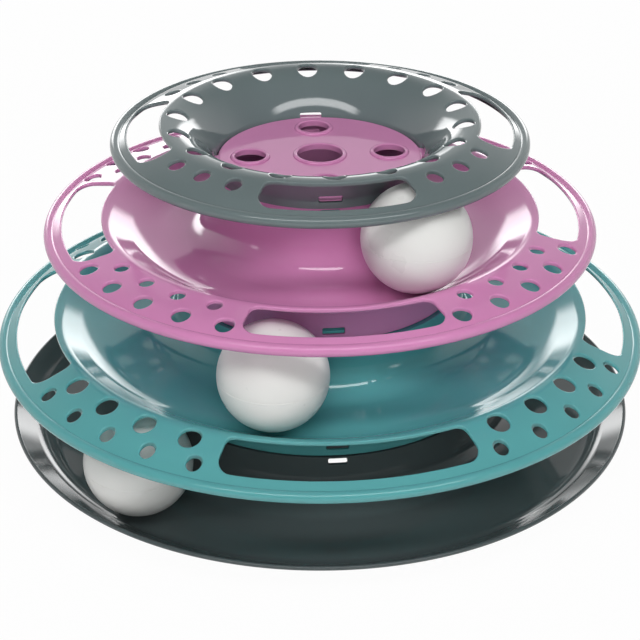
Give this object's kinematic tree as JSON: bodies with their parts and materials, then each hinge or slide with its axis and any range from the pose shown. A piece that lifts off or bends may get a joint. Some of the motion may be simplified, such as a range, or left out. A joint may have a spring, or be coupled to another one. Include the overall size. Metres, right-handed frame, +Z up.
{
  "type": "cat ball track toy",
  "caption": "Round cat toy with stacked open tracks on a base tray, each trapping a free-rolling ball, with slotted, pierced sloping flanges and a shallow dish on top.",
  "frame": {"origin": "on the ground, in the middle of the round base", "axes": "+Z up along the axis of the tiers; the kidney slots lie on X and Y; -Y is the side nearest to the camera"},
  "size_m": [0.25, 0.25, 0.1278],
  "materials": {
    "base_plastic": "glossy",
    "teal_plastic": "glossy",
    "pink_plastic": "glossy",
    "grey_plastic": "glossy",
    "ball_plastic": "satin",
    "rubber": "matt"
  },
  "bodies": {
    "tower": {"base_tray": "base_plastic", "lower_track": "teal_plastic", "middle_track": "pink_plastic", "top_ring": "grey_plastic", "foot_front_left": "rubber", "foot_front_right": "rubber", "foot_back_left": "rubber", "foot_back_right": "rubber"},
    "base_ball": {"base_ball_bottom_half": "ball_plastic", "base_ball_top_half": "ball_plastic"},
    "lower_ball": {"lower_ball_bottom_half": "ball_plastic", "lower_ball_top_half": "ball_plastic"},
    "middle_ball": {"middle_ball_bottom_half": "ball_plastic", "middle_ball_top_half": "ball_plastic"}
  },
  "joints": [
    {"name": "base_ball_orbit", "type": "hinge", "parent": "tower", "child": "base_ball", "pos_m": [0, 0, 0.0239], "axis": [0, 0, 1], "continuous": true},
    {"name": "lower_ball_orbit", "type": "hinge", "parent": "tower", "child": "lower_ball", "pos_m": [0, 0, 0.06303], "axis": [0, 0, 1], "continuous": true},
    {"name": "middle_ball_orbit", "type": "hinge", "parent": "tower", "child": "middle_ball", "pos_m": [0, 0, 0.10222], "axis": [0, 0, 1], "continuous": true}
  ]
}
